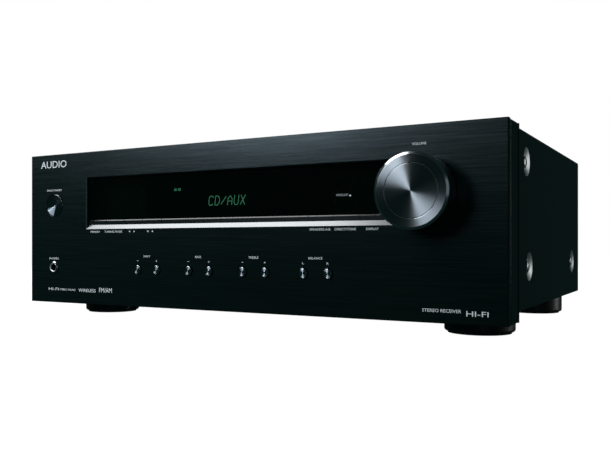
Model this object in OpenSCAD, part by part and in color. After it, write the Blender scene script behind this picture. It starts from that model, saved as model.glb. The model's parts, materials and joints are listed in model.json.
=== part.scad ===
// Stereo receiver: a table-top amplifier and radio tuner in a steel case with an aluminium front.
// The front faces -Y, +X is to the right seen from the front, and +Z is up.
// The origin is on the floor, under the middle of the whole object.

/* [Case] */
// Width of the front panel
panel_w = 435; // [430:0.5:440]
// Height of the front panel
panel_h = 134.9; // [134:0.1:137]
// Distance from the front face to the rear edge of the cover
body_d = 299.9; // [298:0.1:310]
// Height of the front panel's underside above the floor
panel_lift = 12.4; // [11:0.1:14]
// Thickness of the aluminium front plate
plate_t = 6; // [5.6:0.1:6.4]
// Distance from the front face to the rear edge of the moulded front frame
frame_d = 32.3; // [32:0.1:34]
// Distance that the cover's sides stand in from the edges of the front panel
cover_inset = 0.8; // [0.5:0.1:1.5]
// Distance from the top of the front panel down to the top of the cover
cover_drop = 2; // [1:0.1:4]
// Sheet thickness of the cover and of the rear panel
sheet_t = 1; // [0.8:0.1:1.2]
// Sheet thickness of the tray and of the front chassis plate
tray_t = 1.2; // [1:0.1:1.5]
// Distance from the front panel's underside up to the tray's underside
tray_rise = 7.4; // [6:0.1:9]

/* [Display window] */
// Left edge of the window, at the front face
window_left = -148.8; // [-150:0.1:-146]
// Right edge of the window, at the front face
window_right = 138.8; // [136:0.1:141]
// Height of the window's lower edge above the underside of the panel
window_low = 66.4; // [64:0.1:68]
// Height of the window's upper edge above the underside of the panel
window_high = 112.3; // [108:0.1:116]
// Height of the polished bevel along the window's lower edge
bevel_h = 3.6; // [3:0.1:4]
// Depth of the window's recess, down to the lens
window_depth = 3.5; // [3:0.1:4]

/* [Keys in the strip under the lens] */
// Distance from one key to the next
key_pitch = 20.4; // [20:0.1:20.6]
// Gap between two keys
key_gap = 0.4; // [0.3:0.1:0.6]
// Height of a key's front
key_h = 4.1; // [3.4:0.1:4.2]
// Travel of a key and of a round button
key_travel = 0.8; // [0.4:0.1:0.8]

/* [Round buttons] */
// Height of the round buttons above the underside of the panel
button_z = 31.5; // [30:0.1:33]
// Radius of a round button
button_r = 3.7; // [3.4:0.1:4]
// Distance between the two buttons of a pair
button_pitch = 20.2; // [19:0.1:22]
// Distance from the middle to the inner pairs
inner_pair_x = 26; // [24:0.5:28]
// Distance from the middle to the outer pairs
outer_pair_x = 79.2; // [76:0.1:82]

/* [Power button] */
// Place of the power button, from the middle
power_x = -187.5; // [-190:0.5:-185]
// Height of the power button above the underside of the panel
power_z = 88.5; // [86:0.5:91]
// Radius of the power button
power_r = 10; // [9:0.1:10.4]
// Travel of the power button
power_travel = 1.5; // [1:0.1:1.6]

/* [Volume knob] */
// Place of the knob, from the middle
knob_x = 158.4; // [157:0.1:160]
// Height of the knob above the underside of the panel
knob_z = 88.5; // [86:0.5:91]
// Radius of the knob
knob_r = 26; // [24:0.5:28]
// Distance that the knob stands out of the front face
knob_out = 18; // [16:0.5:20]
// Radius of the encoder's shaft
shaft_r = 3; // [2.8:0.05:3]

/* [Headphone socket] */
// Place of the socket, from the middle
phones_x = -188.2; // [-190:0.1:-186]
// Height of the socket above the underside of the panel
phones_z = 31.9; // [30:0.1:34]
// Radius of the hole that takes the headphone plug
phones_r = 3.2; // [3.18:0.01:3.25]

/* [Feet] */
// Radius of a foot
foot_r = 25.7; // [20:0.1:28]
// Distance from the middle to a foot's axis
foot_x = 180.7; // [175:0.1:185]
// Distance from the front face to the front feet
foot_front = 70; // [60:1:80]
// Distance from the front face to the rear feet
foot_rear = 268; // [255:1:272]

/* [Rear] */
// Distance that the terminals stand out behind the cover
terminal_out = 10.1; // [9.6:0.1:12]
// Outer radius of a phono socket's shell
phono_r = 4.15; // [4.1:0.05:4.2]
// Outer radius of the moulded collar around a phono socket's shell
phono_collar_r = 5.4; // [5:0.1:6]
// Radius of the hole in a speaker post, for a banana plug
banana_r = 2.05; // [2:0.05:2.1]
// Distance between the two posts of a pair
post_pitch = 19; // [19:0.5:20]

/* [Hidden] */
$fn = 64;

// Planes across the depth, from front to rear
face_y = knob_out - (knob_out + body_d + terminal_out) / 2;
lens_y = face_y + window_depth;
plate_back = face_y + plate_t;
frame_wall = 2.5;
frame_inner = plate_back + frame_wall;
board_y = face_y + 19;
board_t = 1.6;
frame_back = face_y + frame_d;
chassis_y = frame_back + 1.1;
cover_front = frame_back + 0.7;
cover_back = face_y + body_d;
rear_y = cover_back - sheet_t;
terminal_y = cover_back + terminal_out;

// Planes across the width and the height
panel_x = panel_w / 2;
panel_top = panel_lift + panel_h;
cover_x = panel_x - cover_inset;
cover_top = panel_top - cover_drop;
tray_z = panel_lift + tray_rise;
tray_floor = tray_z + tray_t;
dimple_d = 1.6;
tray_x = cover_x - sheet_t - dimple_d;
board_lift = 12;
main_board_z = tray_floor + board_lift;

// Window, lens and key strip
side_chamfer = 1.2;
side_chamfer_d = 1.6;
opening_left = window_left + side_chamfer;
opening_right = window_right - side_chamfer;
opening_low = panel_lift + window_low + bevel_h;
opening_high = panel_lift + window_high - side_chamfer;
key_low = opening_low + 0.2;
key_high = key_low + key_h;
lens_low = key_high + 0.2;
key_proud = 1.1;
key_front = lens_y - key_proud;
left_keys_x = opening_left + 0.2;
right_keys_x = 72.2;
right_keys_end = right_keys_x + 3 * key_pitch;

// Switches on the front board, which the buttons press
switch_d = 3.5;
plunger_d = 1;
plunger_y = board_y - switch_d - plunger_d;

// Depth from the knob's face to the end of the shaft inside it
shaft_depth = 4;

// Clearances
screw_hole_r = 1.95;
slide_gap = 0.1;
push_gap = 0.05;

// Places across the front, as [x, z]
pair_x = [-outer_pair_x, -inner_pair_x, inner_pair_x, outer_pair_x];
button_places = [for (x = pair_x) for (side = [-1, 1]) [x + side * button_pitch / 2, panel_lift + button_z]];
key_places = [for (i = [0:3]) left_keys_x + i * key_pitch, for (i = [0:2]) right_keys_x + i * key_pitch];
power_at = [power_x, panel_lift + power_z];
knob_at = [knob_x, panel_lift + knob_z];
phones_at = [phones_x, panel_lift + phones_z];
led_at = [103.4, panel_lift + 88.5];

// Places of the cover's side screws, as [y, z], and of its rear screws, as [x, z]
side_screws = [[face_y + 59.8, panel_lift + 111.5], [face_y + 69, panel_lift + 37.1],
    [face_y + 260.5, panel_lift + 37.1]];
rear_screws = [for (x = [-190, -95, 0, 95, 190]) [x, cover_top - 7]];

// Places of the screws that hold the rear panel to the tray, as [x, z]
tray_screws = [for (x = [-195, -125, 0, 125, 195]) [x, tray_z + 7]];

// Feet, as [x, y]
foot_places = [for (x = [-foot_x, foot_x]) for (y = [face_y + foot_front, face_y + foot_rear]) [x, y]];

// Rear sockets, as [x, z]
phono_columns = [for (i = [0:5]) 128 - i * 18];
phono_rows = [62, 82];
phono_places = concat([for (x = phono_columns) for (z = phono_rows) [x, z]],
    [[160, 62], [160, 82], [38, 112]]);
optical_places = [[160, 108], [138, 108]];
post_rows = [104, 74];
post_x = [-102, -102 + post_pitch, -54, -54 + post_pitch];
post_places = [for (z = post_rows) for (x = post_x) [x, z]];
inlet_at = [-172, 60];
inlet_face = rear_y + 2.5;
inlet_screws = [for (x = [-20, 20]) [inlet_at[0] + x, inlet_at[1]]];
base_face = rear_y + 2;
base_screws = [for (x = [post_x[0] - 7, post_x[3] + 7]) [x, (post_rows[0] + post_rows[1]) / 2]];
antenna_at = [190, 112];

// A block given by its two limits along each axis
module block(x, y, z) {
    translate([x[0], y[0], z[0]]) cube([x[1] - x[0], y[1] - y[0], z[1] - z[0]]);
}

// A turned shape about an axis along Y: its outline is [radius, depth], with depth counted from y
module turned(at, y, outline) {
    translate([at[0], y, at[1]]) rotate([-90, 0, 0]) rotate_extrude() polygon(outline);
}

// A round rod along Y
module rod(at, y, r) {
    translate([at[0], y[0], at[1]]) rotate([-90, 0, 0]) cylinder(h = y[1] - y[0], r = r);
}

// A countersink along Y, wide at its front
module countersink(at, y, r_front, r_back) {
    translate([at[0], y[0], at[1]]) rotate([-90, 0, 0]) cylinder(h = y[1] - y[0], r1 = r_front, r2 = r_back);
}

// An outline in X and Z, extruded along Y
module along_y(y) {
    translate([0, y[1], 0]) rotate([90, 0, 0]) linear_extrude(y[1] - y[0]) children();
}

// An outline in Y and Z, extruded along X
module along_x(x) {
    translate([x[0], 0, 0]) rotate([90, 0, 90]) linear_extrude(x[1] - x[0]) children();
}

// An outline in X and Y, extruded along Z
module along_z(z) {
    translate([0, 0, z[0]]) linear_extrude(z[1] - z[0]) children();
}

// A block whose four front edges are chamfered by c across and d deep
module front_chamfered(x, y, z, c, d) {
    intersection() {
        along_x(x) polygon([[y[0], z[0] + c], [y[0] + d, z[0]], [y[1], z[0]], [y[1], z[1]],
            [y[0] + d, z[1]], [y[0], z[1] - c]]);
        along_z(z) polygon([[x[0] + c, y[0]], [x[0], y[0] + d], [x[0], y[1]], [x[1], y[1]],
            [x[1], y[0] + d], [x[1] - c, y[0]]]);
    }
}

// The space of the window through the front plate, with the polished bevel below
module window_space() {
    front = face_y - 1;
    low = panel_lift + window_low;
    high = panel_lift + window_high;
    back = plate_back + 1;
    intersection() {
        along_x([window_left - 1, window_right + 1]) polygon([[front, low], [face_y, low],
            [key_front, opening_low], [back, opening_low], [back, opening_high],
            [face_y + side_chamfer_d, opening_high], [face_y, high], [front, high]]);
        along_z([low - 1, high + 1]) polygon([[window_left, front], [window_left, face_y],
            [opening_left, face_y + side_chamfer_d], [opening_left, back], [opening_right, back],
            [opening_right, face_y + side_chamfer_d], [window_right, face_y], [window_right, front]]);
    }
}

module front_plate() {
    button_bevel = 0.9;
    power_bevel = 0.5;
    color([0.05, 0.055, 0.06])
        difference() {
            front_chamfered([-panel_x, panel_x], [face_y, plate_back], [panel_lift, panel_top], 0.4, 0.4);
            window_space();
            for (at = button_places) {
                rod(at, [face_y - 1, plate_back + 1], button_r + 0.2);
                countersink(at, [face_y, face_y + button_bevel], button_r + button_bevel, button_r);
            }
            rod(power_at, [face_y - 1, plate_back + 1], power_r + slide_gap);
            countersink(power_at, [face_y, face_y + power_bevel], power_r + slide_gap + power_bevel,
                power_r + slide_gap);
            rod(phones_at, [face_y - 1, plate_back + 1], 4.1);
            rod(knob_at, [face_y - 1, plate_back + 1], 4.6);
        }
}

module front_frame() {
    step = 0.3;
    lip = 2;
    edge_c = 0.8;
    edge_d = 3.5;
    outer_x = panel_x - step;
    low = panel_lift + step;
    high = panel_top - step;
    color([0.04, 0.045, 0.05]) {
        difference() {
            union() {
                front_chamfered([-outer_x, outer_x], [plate_back, frame_back], [low, high], edge_c, edge_d);
                block([-panel_x, panel_x], [frame_back - lip, frame_back], [panel_lift, panel_top]);
            }
            block([-outer_x + frame_wall, outer_x - frame_wall], [frame_inner, frame_back + 1],
                [low + frame_wall, high - frame_wall]);
            block([window_left - 4, window_right + 4], [plate_back - 1, frame_inner + 1],
                [opening_low - 4, opening_high + 4]);
            for (at = button_places)
                rod(at, [plate_back - 1, frame_inner + 1], button_r + slide_gap);
            rod(power_at, [plate_back - 1, frame_inner + 1], power_r + 1.6);
            rod(phones_at, [plate_back - 1, frame_inner + 1], 4.1);
            rod(knob_at, [plate_back - 1, frame_inner + 1], 4.6);
        }
        for (x = [-209, 209])
            for (z = [panel_lift + 12, panel_lift + 66, panel_top - 12])
                rod([x, z], [frame_inner - 0.5, chassis_y], 4);
    }
}

module display_lens() {
    flange = 2.6;
    flange_t = 1.5;
    color([0.01, 0.015, 0.012]) {
        block([opening_left + 0.1, opening_right - 0.1], [lens_y, plate_back + flange_t],
            [lens_low, opening_high - 0.1]);
        block([opening_left - flange, opening_right + flange], [plate_back, plate_back + flange_t],
            [lens_low, opening_high + flange]);
    }
}

module display_tube() {
    glass_x = [-88, 78];
    glass_z = [lens_low + 4, opening_high - 4];
    glass_y = [plate_back + 2.5, plate_back + 9.5];
    lead_pitch = 7.5;
    color([0.05, 0.16, 0.12]) {
        block(glass_x, glass_y, glass_z);
        for (x = [glass_x[0] + 4:lead_pitch:glass_x[1] - 4])
            block([x, x + 0.8], [glass_y[1] - 1, board_y], [glass_z[0] - 0.8, glass_z[0]]);
    }
}

module front_board() {
    color([0.06, 0.22, 0.12])
        difference() {
            block([-204, 200], [board_y, board_y + board_t], [panel_lift + 16, panel_top - 12]);
            block([-205, phones_x + 14], [board_y - 1, board_y + board_t + 1],
                [panel_lift, panel_lift + phones_z + 14]);
        }
}

// A fixed or moving bar of the strip, with its bright chamfer along the top
module strip_bar(x, back) {
    top_c = 0.8;
    top_d = 0.65;
    along_x(x) polygon([[key_front, key_low], [back, key_low], [back, key_high],
        [key_front + top_d, key_high], [key_front, key_high - top_c]]);
}

module strip_blank() {
    gap = key_gap / 2;
    color([0.03, 0.03, 0.035])
        for (x = [[left_keys_x + 4 * key_pitch, right_keys_x], [right_keys_end, opening_right]]) {
            strip_bar([x[0] + gap, x[1] - gap], plate_back + 1.4);
            block([x[0] + gap, x[1] - gap], [plate_back, plate_back + 1.4], [opening_low - 2.5, key_low]);
        }
}

// One key of the strip: its bar, its stop behind the plate, and the stem that presses the switch
module strip_key(i) {
    x = [key_places[i] + key_gap / 2, key_places[i] + key_pitch - key_gap / 2];
    middle = (x[0] + x[1]) / 2;
    stop_y = [plate_back + 0.1, plate_back + 1.4];
    color([0.03, 0.03, 0.035]) {
        strip_bar(x, stop_y[1]);
        block(x, stop_y, [opening_low - 2.5, key_low]);
        block([middle - 2, middle + 2], [stop_y[1], plunger_y - key_travel - push_gap],
            [key_low, key_high - 0.5]);
    }
}

module key_memory() {
    strip_key(0);
}

module key_tuning_mode() {
    strip_key(1);
}

module key_step() {
    strip_key(2);
}

module key_preset() {
    strip_key(3);
}

module key_speakers() {
    strip_key(4);
}

module key_tone() {
    strip_key(5);
}

module key_display() {
    strip_key(6);
}

module power_button() {
    dish = 1.4;
    rim = 0.5;
    proud = 0.2;
    stem_end = plunger_y - power_travel - push_gap - face_y;
    color([0.45, 0.47, 0.5])
        turned(power_at, face_y, [[0, dish], [power_r - rim, -proud], [power_r, rim - proud],
            [power_r, plate_t + 0.1], [power_r + 0.8, plate_t + 0.1], [power_r + 0.8, plate_t + 1.4],
            [2, plate_t + 1.4], [2, stem_end], [0, stem_end]]);
}

// One round button: a turned cap, its stop behind the frame's wall, and a stem
module round_button(i) {
    proud = 0.9;
    rim = 0.4;
    stop = frame_inner - face_y + 0.1;
    stem_end = plunger_y - key_travel - push_gap - face_y;
    color([0.6, 0.62, 0.65])
        turned(button_places[i], face_y, [[0, -proud], [button_r - rim, -proud], [button_r, rim - proud],
            [button_r, stop], [button_r + 1, stop], [button_r + 1, stop + 1], [1.6, stop + 1],
            [1.6, stem_end], [0, stem_end]]);
}

module input_down_button() {
    round_button(0);
}

module input_up_button() {
    round_button(1);
}

module bass_down_button() {
    round_button(2);
}

module bass_up_button() {
    round_button(3);
}

module treble_down_button() {
    round_button(4);
}

module treble_up_button() {
    round_button(5);
}

module balance_left_button() {
    round_button(6);
}

module balance_right_button() {
    round_button(7);
}

module tact_switches() {
    half = 3;
    key_z = (key_low + key_high) / 2;
    places = concat(button_places, [power_at], [for (x = key_places) [x + key_pitch / 2, key_z]]);
    color([0.12, 0.12, 0.12])
        for (at = places) {
            block([at[0] - half, at[0] + half], [board_y - switch_d, board_y],
                [at[1] - half, at[1] + half]);
            rod(at, [plunger_y, board_y - switch_d + 0.5], 1.7);
        }
}

module volume_knob() {
    chamfer_w = 1.8;
    chamfer_d = 0.9;
    face_r = knob_r - chamfer_w;
    back = -1.5;
    skirt_r = knob_r - 3;
    inner = 5 - knob_out;
    hub_r = 7;
    hub_end = -3.6;
    groove_r = 18.6;
    groove_w = 0.5;
    groove_d = 0.35;
    bore_end = shaft_depth - knob_out;
    color([0.5, 0.52, 0.54])
        turned(knob_at, face_y, [[0, -knob_out], [groove_r - groove_w / 2, -knob_out],
            [groove_r, groove_d - knob_out], [groove_r + groove_w / 2, -knob_out], [face_r, -knob_out],
            [knob_r, chamfer_d - knob_out], [knob_r, back], [skirt_r, back], [skirt_r, inner], [hub_r, inner],
            [hub_r, hub_end], [shaft_r, hub_end], [shaft_r, bore_end], [0, bore_end]]);
}

module volume_shaft() {
    color([0.7, 0.7, 0.72])
        rod(knob_at, [face_y - knob_out + shaft_depth, plate_back + 4], shaft_r);
}

module volume_encoder() {
    bushing_r = 4.4;
    half = 6;
    color([0.55, 0.55, 0.57])
        difference() {
            union() {
                rod(knob_at, [face_y - 3, frame_inner + 1], bushing_r);
                block([knob_at[0] - half, knob_at[0] + half], [frame_inner, board_y],
                    [knob_at[1] - half, knob_at[1] + half]);
            }
            rod(knob_at, [face_y - 4, plate_back + 4.3], shaft_r + 0.05);
        }
}

module panel_nuts() {
    nut_t = 2;
    color([0.75, 0.76, 0.78]) {
        difference() {
            translate([knob_at[0], face_y - nut_t, knob_at[1]]) rotate([-90, 0, 0])
                cylinder(h = nut_t, r = 6.3, $fn = 6);
            rod(knob_at, [face_y - nut_t - 1, face_y + 1], 4.45);
        }
        turned(phones_at, face_y, [[4.05, -1.2], [4.75, -1.2], [5.25, -0.7], [5.25, 0], [4.05, 0]]);
    }
}

module phones_jack() {
    bushing_r = 4;
    half = 7.5;
    depth = 28;
    color([0.07, 0.07, 0.08])
        difference() {
            union() {
                rod(phones_at, [face_y - 1.2, frame_inner + 1], bushing_r);
                block([phones_at[0] - half, phones_at[0] + half], [frame_inner, chassis_y],
                    [phones_at[1] - half, phones_at[1] + half]);
            }
            rod(phones_at, [face_y - 1, face_y - 1.2 + depth], phones_r);
            countersink(phones_at, [face_y - 1.2, face_y - 0.6], phones_r + 0.6, phones_r);
        }
}

module status_led() {
    length = board_y - plate_back - 2.2;
    color([0.85, 0.9, 0.95])
        turned(led_at, board_y - length, [[0, 0], [0.7, 0.2], [1.3, 0.9], [1.5, 1.6], [1.5, 4], [1.9, 4],
            [1.9, 5], [0.9, 5], [0.9, length], [0, length]]);
}

module front_chassis() {
    flange = 10;
    back = chassis_y + tray_t;
    slot_x = [96, 128];
    slot_z = [98, 106];
    half = tray_x - 2;
    top = cover_top - sheet_t - 0.3;
    color([0.62, 0.64, 0.66])
        difference() {
            union() {
                block([-half, half], [chassis_y, back], [tray_z, top]);
                block([-half, half], [chassis_y, back + flange], [top - tray_t, top]);
            }
            block(slot_x, [chassis_y - 1, back + 1], slot_z);
        }
}

module chassis_tray() {
    front = chassis_y + tray_t;
    back = rear_y - sheet_t;
    wall_top = tray_z + 42;
    post_top = cover_top - 12;
    post_y = [side_screws[0][0] - 12, side_screws[0][0] + 12];
    stud_r = 3.5;
    rear_flange = 14;
    color([0.62, 0.64, 0.66])
        difference() {
            union() {
                block([-tray_x, tray_x], [front, back], [tray_z, tray_floor]);
                block([-tray_x, tray_x], [front, front + tray_t], [tray_z, tray_z + 24]);
                block([-tray_x, tray_x], [back - tray_t, back], [tray_z, tray_z + rear_flange]);
                for (x = [[-tray_x, -tray_x + tray_t], [tray_x - tray_t, tray_x]]) {
                    block(x, [front, back], [tray_z, wall_top]);
                    block(x, post_y, [wall_top - 1, post_top]);
                }
                for (x = [-78, 62, 196])
                    for (y = [-88, 6])
                        translate([x, y, tray_floor - 0.5]) cylinder(h = board_lift + 0.5, r = stud_r);
            }
            for (at = side_screws)
                for (x = [-tray_x, tray_x - tray_t])
                    translate([x - 1, at[0], at[1]]) rotate([0, 90, 0])
                        cylinder(h = tray_t + 2, r = screw_hole_r);
            for (at = foot_places)
                translate([at[0], at[1], tray_z - 1]) cylinder(h = tray_t + 2, r = screw_hole_r);
            for (at = tray_screws)
                rod(at, [back - tray_t - 1, back + 1], screw_hole_r);
        }
}

module rear_panel() {
    half = tray_x - 0.2;
    top = cover_top - sheet_t - 0.3;
    color([0.06, 0.06, 0.065])
        difference() {
            block([-half, half], [rear_y - sheet_t, rear_y], [tray_z, top]);
            for (at = phono_places)
                rod(at, [rear_y - 2, rear_y + 1], phono_collar_r + 0.15);
            for (at = optical_places)
                block([at[0] - 6.6, at[0] + 6.6], [rear_y - 2, rear_y + 1], [at[1] - 6.1, at[1] + 6.1]);
            for (at = post_places)
                rod(at, [rear_y - 2, rear_y + 1], 5.2);
            block([inlet_at[0] - 13.6, inlet_at[0] + 13.6], [rear_y - 2, rear_y + 1],
                [inlet_at[1] - 10, inlet_at[1] + 10]);
            rod(antenna_at, [rear_y - 2, rear_y + 1], 5);
            for (at = concat(rear_screws, tray_screws, inlet_screws, base_screws))
                rod(at, [rear_y - 2, rear_y + 1], screw_hole_r);
        }
}

// Points of an arc about a centre, from one angle to another
function arc(centre, r, from, to, steps) = [for (i = [0:steps])
    centre + r * [cos(from + (to - from) * i / steps), sin(from + (to - from) * i / steps)]];

// Half of the cover's outline, its outer side going up and its inner side coming down
function cover_outline(side, t) = let (r = 1.5, x = cover_x, z = cover_top, n = 4)
    [for (p = concat([[0, z]], arc([x - r, z - r], r, 90, 0, n), [[x, tray_z]], [[x - t, tray_z]],
        arc([x - r, z - r], r - t, 0, 90, n), [[0, z - t]])) [side * p[0], p[1]]];

module top_cover() {
    lip = 12;
    slot_w = 3.2;
    slot_l = 30;
    slot_pitch = 8;
    slot_columns = 36;
    slot_rows = [for (i = [0:2]) face_y + 148 + i * 42];
    boss_r = 11.6;
    dimple_r = 10.4;
    flat_r = 6;
    color([0.045, 0.045, 0.05])
        difference() {
            union() {
                for (side = [-1, 1]) {
                    along_y([cover_front, cover_back]) polygon(cover_outline(side, sheet_t));
                    for (at = side_screws)
                        translate([side * (cover_x - sheet_t / 2), at[0], at[1]])
                            rotate([0, -side * 90, 0]) cylinder(h = sheet_t / 2 + dimple_d, r = boss_r);
                }
                block([-cover_x + 0.5, cover_x - 0.5], [rear_y, cover_back],
                    [cover_top - lip, cover_top - sheet_t / 2]);
                for (x = [[-cover_x + 0.5, -cover_x + lip], [cover_x - lip, cover_x - 0.5]])
                    block(x, [rear_y, cover_back], [tray_z, cover_top - sheet_t / 2]);
            }
            for (side = [-1, 1])
                for (at = side_screws) {
                    translate([side * cover_x, at[0], at[1]]) rotate([0, -side * 90, 0])
                        cylinder(h = dimple_d, r1 = dimple_r, r2 = flat_r);
                    translate([side * (cover_x + 1), at[0], at[1]]) rotate([0, -side * 90, 0])
                        cylinder(h = 6, r = screw_hole_r);
                }
            for (at = rear_screws)
                rod(at, [rear_y - 1, cover_back + 1], screw_hole_r);
            for (y = slot_rows)
                for (i = [0:slot_columns - 1])
                    let (x = (i - (slot_columns - 1) / 2) * slot_pitch)
                        block([x - slot_w / 2, x + slot_w / 2], [y - slot_l / 2, y + slot_l / 2],
                            [cover_top - sheet_t - 1, cover_top + 1]);
        }
}

// A domed screw whose head stands on the plane z = 0 and whose shank points down
module screw(head_r, head_h, shank_r, shank_l) {
    edge = 0.4;
    dome = [for (a = [0:15:60]) [head_r * cos(a), edge + (head_h - edge) * sin(a)]];
    rotate_extrude() polygon(concat([[0, -shank_l], [shank_r, -shank_l], [shank_r, 0], [head_r, 0]], dome,
        [[1.5, head_h * 0.95], [1.2, edge], [0, edge]]));
}

module case_screws() {
    head_r = 4.2;
    head_h = 1.5;
    shank_r = 1.9;
    length = 7;
    color([0.08, 0.08, 0.085]) {
        for (side = [-1, 1])
            for (at = side_screws)
                translate([side * (cover_x - dimple_d), at[0], at[1]]) rotate([0, side * 90, 0])
                    screw(head_r, head_h, shank_r, length);
        for (group = [[rear_screws, cover_back], [tray_screws, rear_y], [inlet_screws, inlet_face],
            [base_screws, base_face]])
            for (at = group[0])
                translate([at[0], group[1], at[1]]) rotate([-90, 0, 0])
                    screw(head_r, head_h, shank_r, length);
    }
}

module feet() {
    pad_t = 1.2;
    round_r = 2;
    wall = 3;
    web = 3;
    lower_edge = arc([foot_r - round_r, pad_t + round_r], round_r, -90, 0, 4);
    color([0.05, 0.05, 0.055])
        for (at = foot_places)
            translate([at[0], at[1], 0]) rotate_extrude()
                polygon(concat([[foot_r - 9, pad_t]], lower_edge, [[foot_r, tray_z], [2, tray_z],
                    [2, tray_z - web - 4], [7, tray_z - web - 4], [7, tray_z - web],
                    [foot_r - wall, tray_z - web], [foot_r - wall, pad_t + 4], [foot_r - 9, pad_t + 4]]));
}

module foot_pads() {
    color([0.12, 0.12, 0.12])
        for (at = foot_places)
            translate([at[0], at[1], 0]) rotate_extrude() polygon([[foot_r - 8.6, 0], [foot_r - 2.6, 0],
                [foot_r - 2.6, 1.2], [foot_r - 8.6, 1.2]]);
}

module foot_screws() {
    head_z = tray_z - 7;
    color([0.7, 0.7, 0.72])
        for (at = foot_places)
            translate([at[0], at[1], head_z]) rotate([180, 0, 0]) screw(3.8, 1.8, 1.85, 12);
}

// Middle of the transformer, and the sizes of its laminated core
transformer_at = [-146, -30];
core_w = 96;
core_h = 80;
core_d = 42;
limb_w = 32;
core_window = [16, 48];

module transformer_core() {
    window_x = (limb_w + core_window[0]) / 2;
    flange = 8;
    middle_z = tray_floor + core_h / 2;
    color([0.3, 0.31, 0.33])
        translate([transformer_at[0], transformer_at[1], 0]) {
            difference() {
                block([-core_w / 2, core_w / 2], [-core_d / 2, core_d / 2],
                    [tray_floor, tray_floor + core_h]);
                for (x = [-window_x, window_x])
                    block([x - core_window[0] / 2, x + core_window[0] / 2], [-core_d, core_d],
                        [middle_z - core_window[1] / 2, middle_z + core_window[1] / 2]);
            }
            for (y = [[-core_d / 2 - flange, -core_d / 2], [core_d / 2, core_d / 2 + flange]])
                block([-core_w / 2, core_w / 2], y, [tray_floor, tray_floor + 2]);
        }
}

module transformer_coil() {
    overhang = 14;
    gap = 0.1;
    middle_z = tray_floor + core_h / 2;
    half_x = limb_w / 2 + core_window[0] - gap;
    half_z = core_window[1] / 2 - gap;
    color([0.75, 0.55, 0.2])
        translate([transformer_at[0], transformer_at[1], middle_z])
            difference() {
                block([-half_x, half_x], [-core_d / 2 - overhang, core_d / 2 + overhang], [-half_z, half_z]);
                block([-limb_w / 2 - gap, limb_w / 2 + gap], [-core_d / 2 - gap, core_d / 2 + gap],
                    [-half_z - 1, half_z + 1]);
            }
}

// Front plane and sizes of the heatsink
heatsink_x = [-62, 92];
heatsink_y = 20;
heatsink_base = 6;
heatsink_h = 88;

module heatsink() {
    fin_t = 2.2;
    fin_l = 30;
    fins = 17;
    fin_pitch = (heatsink_x[1] - heatsink_x[0] - fin_t) / (fins - 1);
    color([0.55, 0.56, 0.58])
        along_z([tray_floor, tray_floor + heatsink_h])
            union() {
                translate([heatsink_x[0], heatsink_y]) square([heatsink_x[1] - heatsink_x[0], heatsink_base]);
                for (i = [0:fins - 1])
                    translate([heatsink_x[0] + i * fin_pitch, heatsink_y + heatsink_base - 0.5])
                        square([fin_t, fin_l + 0.5]);
            }
}

module power_transistors() {
    body = [16, 5, 20];
    lead_z = main_board_z + board_t;
    low = lead_z + 16;
    lead = 0.6;
    color([0.08, 0.08, 0.085])
        for (x = [-44, -14, 28, 58]) {
            block([x, x + body[0]], [heatsink_y - body[1], heatsink_y], [low, low + body[2]]);
            for (i = [-1:1])
                let (middle = x + body[0] / 2 + i * 5)
                    block([middle - lead, middle + lead], [heatsink_y - 3, heatsink_y - 3 + lead * 2],
                        [lead_z, low + 1]);
        }
}

module main_board() {
    color([0.55, 0.42, 0.2])
        block([-86, 204], [-96, 19], [main_board_z, main_board_z + board_t]);
}

module filter_capacitors() {
    low = main_board_z + board_t;
    color([0.05, 0.08, 0.2])
        for (x = [-50, -8])
            translate([x, -48, low]) cylinder(h = 46, r = 17.5);
}

// Relays, small capacitors, plugs, and the remote control's receiver on the front board
module board_parts() {
    low = main_board_z + board_t;
    relay = [18, 15, 16];
    color([0.15, 0.15, 0.16]) {
        rod([88, panel_lift + 98], [board_y - 8, board_y], 3);
        for (x = [34, 58, 82])
            block([x, x + relay[0]], [-10, -10 + relay[1]], [low, low + relay[2]]);
        for (x = [40, 56, 72, 88, 104, 120])
            translate([x, -60, low]) cylinder(h = 13, r = 5);
        for (x = [140, 168])
            block([x, x + 22], [-80, -70], [low, low + 9]);
    }
}

// Planes of the input board, which stands behind the rear sockets
input_board_y = rear_y - 14;

module input_board() {
    color([0.06, 0.22, 0.12])
        block([24, 176], [input_board_y - board_t, input_board_y], [tray_floor + 8, 128]);
}

module input_jacks() {
    tip = rear_y + 9;
    shell_t = 0.75;
    base_r = phono_collar_r + 1;
    color([0.72, 0.72, 0.74])
        for (at = phono_places)
            translate([at[0], input_board_y, at[1]]) rotate([-90, 0, 0])
                let (end = tip - input_board_y, wall = rear_y - sheet_t - input_board_y,
                        collar = wall + sheet_t + 1)
                    rotate_extrude() polygon([[0, 0], [base_r, 0], [base_r, wall], [phono_collar_r, wall],
                        [phono_collar_r, collar], [phono_r, collar], [phono_r, end],
                        [phono_r - shell_t, end], [phono_r - shell_t, end - 7], [2.4, end - 7],
                        [2.4, end - 1], [1.65, end - 1], [1.65, end - 9], [0, end - 9]]);
}

module optical_sockets() {
    half = [6.4, 5.9];
    hole = [4.9, 4.2];
    color([0.06, 0.06, 0.065])
        for (at = optical_places)
            difference() {
                block([at[0] - half[0], at[0] + half[0]], [input_board_y, rear_y + 1.5],
                    [at[1] - half[1], at[1] + half[1]]);
                block([at[0] - hole[0], at[0] + hole[0]], [rear_y - 8.5, rear_y + 2],
                    [at[1] - hole[1], at[1] + hole[1]]);
            }
}

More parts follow.
